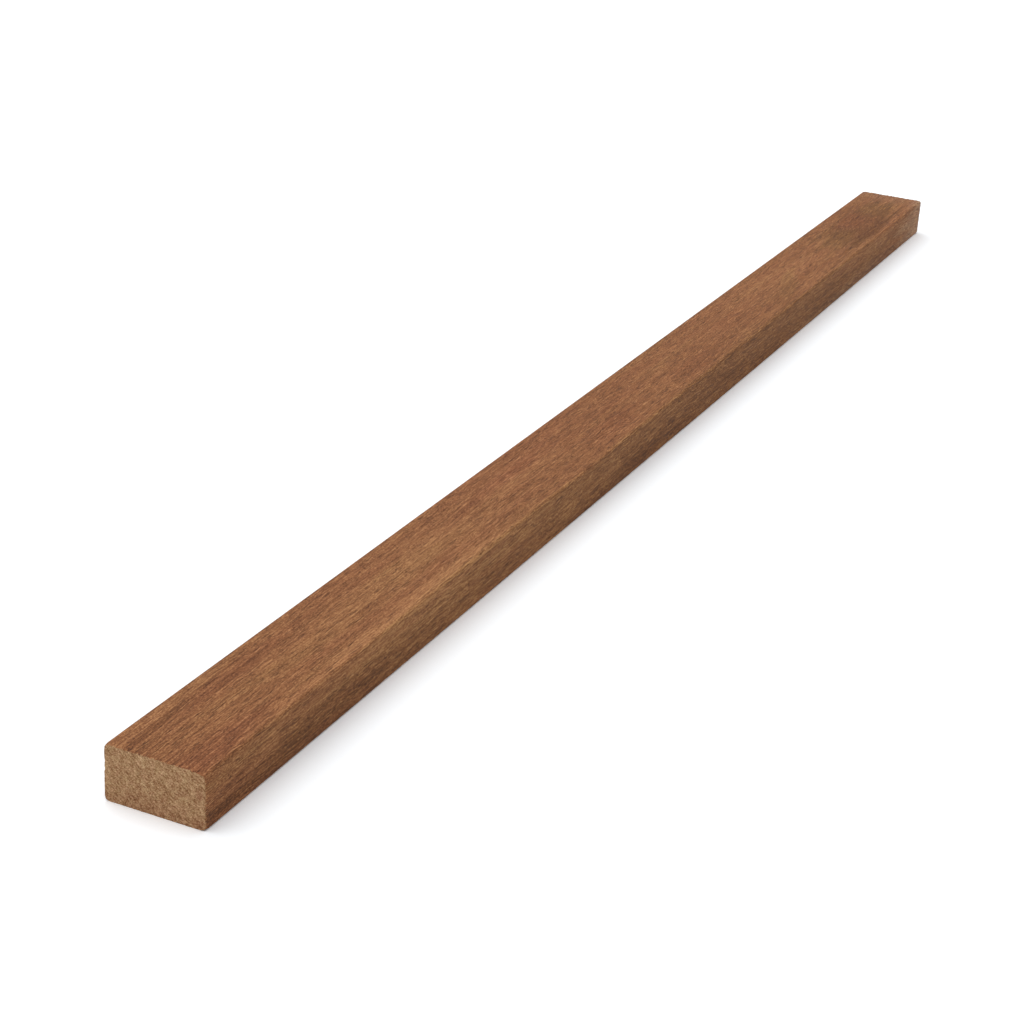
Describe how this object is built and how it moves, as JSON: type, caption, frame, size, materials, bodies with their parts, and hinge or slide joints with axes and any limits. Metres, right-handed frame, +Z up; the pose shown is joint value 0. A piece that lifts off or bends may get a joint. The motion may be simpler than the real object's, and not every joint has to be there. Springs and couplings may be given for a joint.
{
  "type": "planed hardwood board",
  "caption": "Slim straight board of solid reddish-brown hardwood, planed on all four sides with eased long edges and square sawn ends; stock for trim, frames and battens.",
  "frame": {"origin": "middle of the underside, on the surface that the board lies on", "axes": "+X along the grain, from the end nearest the picture's camera to the far end; +Y across the face, away from the edge that the picture shows; +Z up, out of the top face"},
  "size_m": [1, 0.046, 0.025],
  "materials": {
    "hardwood": "planed and unfinished, with rough sawn ends"
  },
  "bodies": {
    "root": {"board": "hardwood"}
  },
  "joints": []
}
